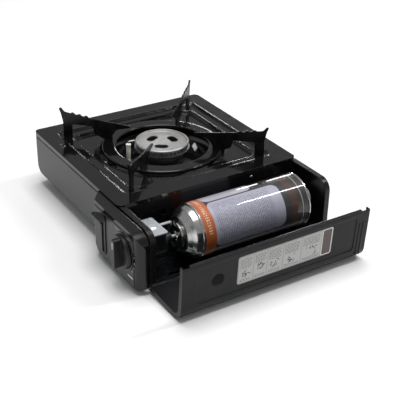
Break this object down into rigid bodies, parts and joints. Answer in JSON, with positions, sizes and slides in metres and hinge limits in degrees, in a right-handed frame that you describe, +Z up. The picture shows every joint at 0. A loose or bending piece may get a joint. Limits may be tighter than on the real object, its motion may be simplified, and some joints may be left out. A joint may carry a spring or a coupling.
{
  "type": "butane cassette stove",
  "caption": "Low rectangular table-top gas stove with a round burner, a lift-off pan support, a side bay holding a lying gas cartridge, a hinged bay lid, a lock lever and a knob.",
  "frame": {"origin": "middle of the footprint on the table, at the bottom of the feet", "axes": "+X to the right towards the cartridge bay, +Y to the back, +Z up; the knob and the lever face -Y"},
  "size_m": [0.3782, 0.2814, 0.1129],
  "materials": {
    "black_enamel": "gloss vitreous enamel on pressed steel",
    "black_paint": "semi-gloss powder coat",
    "grey_face": "satin charcoal paint",
    "rubber": "moulded matt rubber",
    "bright_steel": "nickel plated",
    "zinc_steel": "zinc plated sheet",
    "cap_steel": "bare pressed steel, slightly heat dulled",
    "cast_aluminium": "die cast, matt",
    "pipe_aluminium": "drawn tube",
    "brass": "turned",
    "tinplate": "bright tinplate",
    "can_paint": "printed and varnished tinplate",
    "white_plastic": "moulded polypropylene",
    "black_plastic": "moulded, fine spark texture",
    "lead_rubber": "extruded silicone sleeve",
    "ceramic": "unglazed alumina",
    "paper": "laminated paper label"
  },
  "bodies": {
    "body": {"base_tray": "black_paint", "bay_front_wall": "black_paint", "bay_rear_wall": "black_paint", "bracket_screws": "bright_steel", "burner_cap": "cap_steel", "burner_dish": "black_enamel", "burner_head": "cast_aluminium", "burner_plate": "black_enamel", "electrode": "ceramic", "electrode_pin": "bright_steel", "feet": "rubber", "flame_target": "bright_steel", "front_panel": "black_plastic", "gas_pipe": "pipe_aluminium", "hinge_pins": "bright_steel", "igniter": "white_plastic", "ignition_lead": "lead_rubber", "injector": "brass", "injector_stay": "zinc_steel", "knob_ring": "black_plastic", "lever_pivot_pin": "bright_steel", "mixing_tube": "zinc_steel", "panel_face": "grey_face", "partition": "black_paint", "partition_rivet": "bright_steel", "slot_bezel": "black_plastic", "valve_body": "cast_aluminium", "valve_bracket": "zinc_steel"},
    "lid": {"lid_shell": "black_enamel", "lid_label": "paper"},
    "lever": {"lever_arm": "zinc_steel", "lever_paddle": "black_plastic"},
    "cradle": {"cradle": "zinc_steel"},
    "knob": {"knob": "black_plastic", "knob_spindle": "brass"},
    "trivet": {"trivet_fin_back_left": "black_enamel", "trivet_fin_back_right": "black_enamel", "trivet_fin_front_left": "black_enamel", "trivet_fin_front_right": "black_enamel", "trivet_ring": "black_enamel"},
    "cartridge": {"can_body": "can_paint", "can_bottom": "tinplate", "can_collar": "tinplate", "can_dome": "tinplate", "can_end_cap": "white_plastic", "can_stem": "white_plastic"}
  },
  "joints": [
    {"name": "lid_hinge", "type": "hinge", "parent": "body", "child": "lid", "pos_m": [0.11686, 0.0141, 0.008], "axis": [0, -1, 0], "range_deg": [0, 93]},
    {"name": "lever_pivot", "type": "hinge", "parent": "body", "child": "lever", "pos_m": [0.03986, -0.0599, 0.042], "axis": [1, 0, 0], "range_deg": [0, 32]},
    {"name": "cradle_slide", "type": "slide", "parent": "body", "child": "cradle", "axis": [0, -1, 0], "range_m": [0, 0.00573]},
    {"name": "knob_turn", "type": "hinge", "parent": "body", "child": "knob", "pos_m": [0.08786, -0.1299, 0.044], "axis": [0, -1, 0], "range_deg": [0, 110]},
    {"name": "trivet_lift", "type": "slide", "parent": "body", "child": "trivet", "axis": [0, 0, 1], "range_m": [0, 0.06]},
    {"name": "cartridge_lift", "type": "slide", "parent": "cradle", "child": "cartridge", "axis": [0, 0, 1], "range_m": [0, 0.08]}
  ],
  "couplings": [
    {"joint": "lever_pivot", "follows": "cradle_slide", "rad_per_m": 97.387}
  ]
}
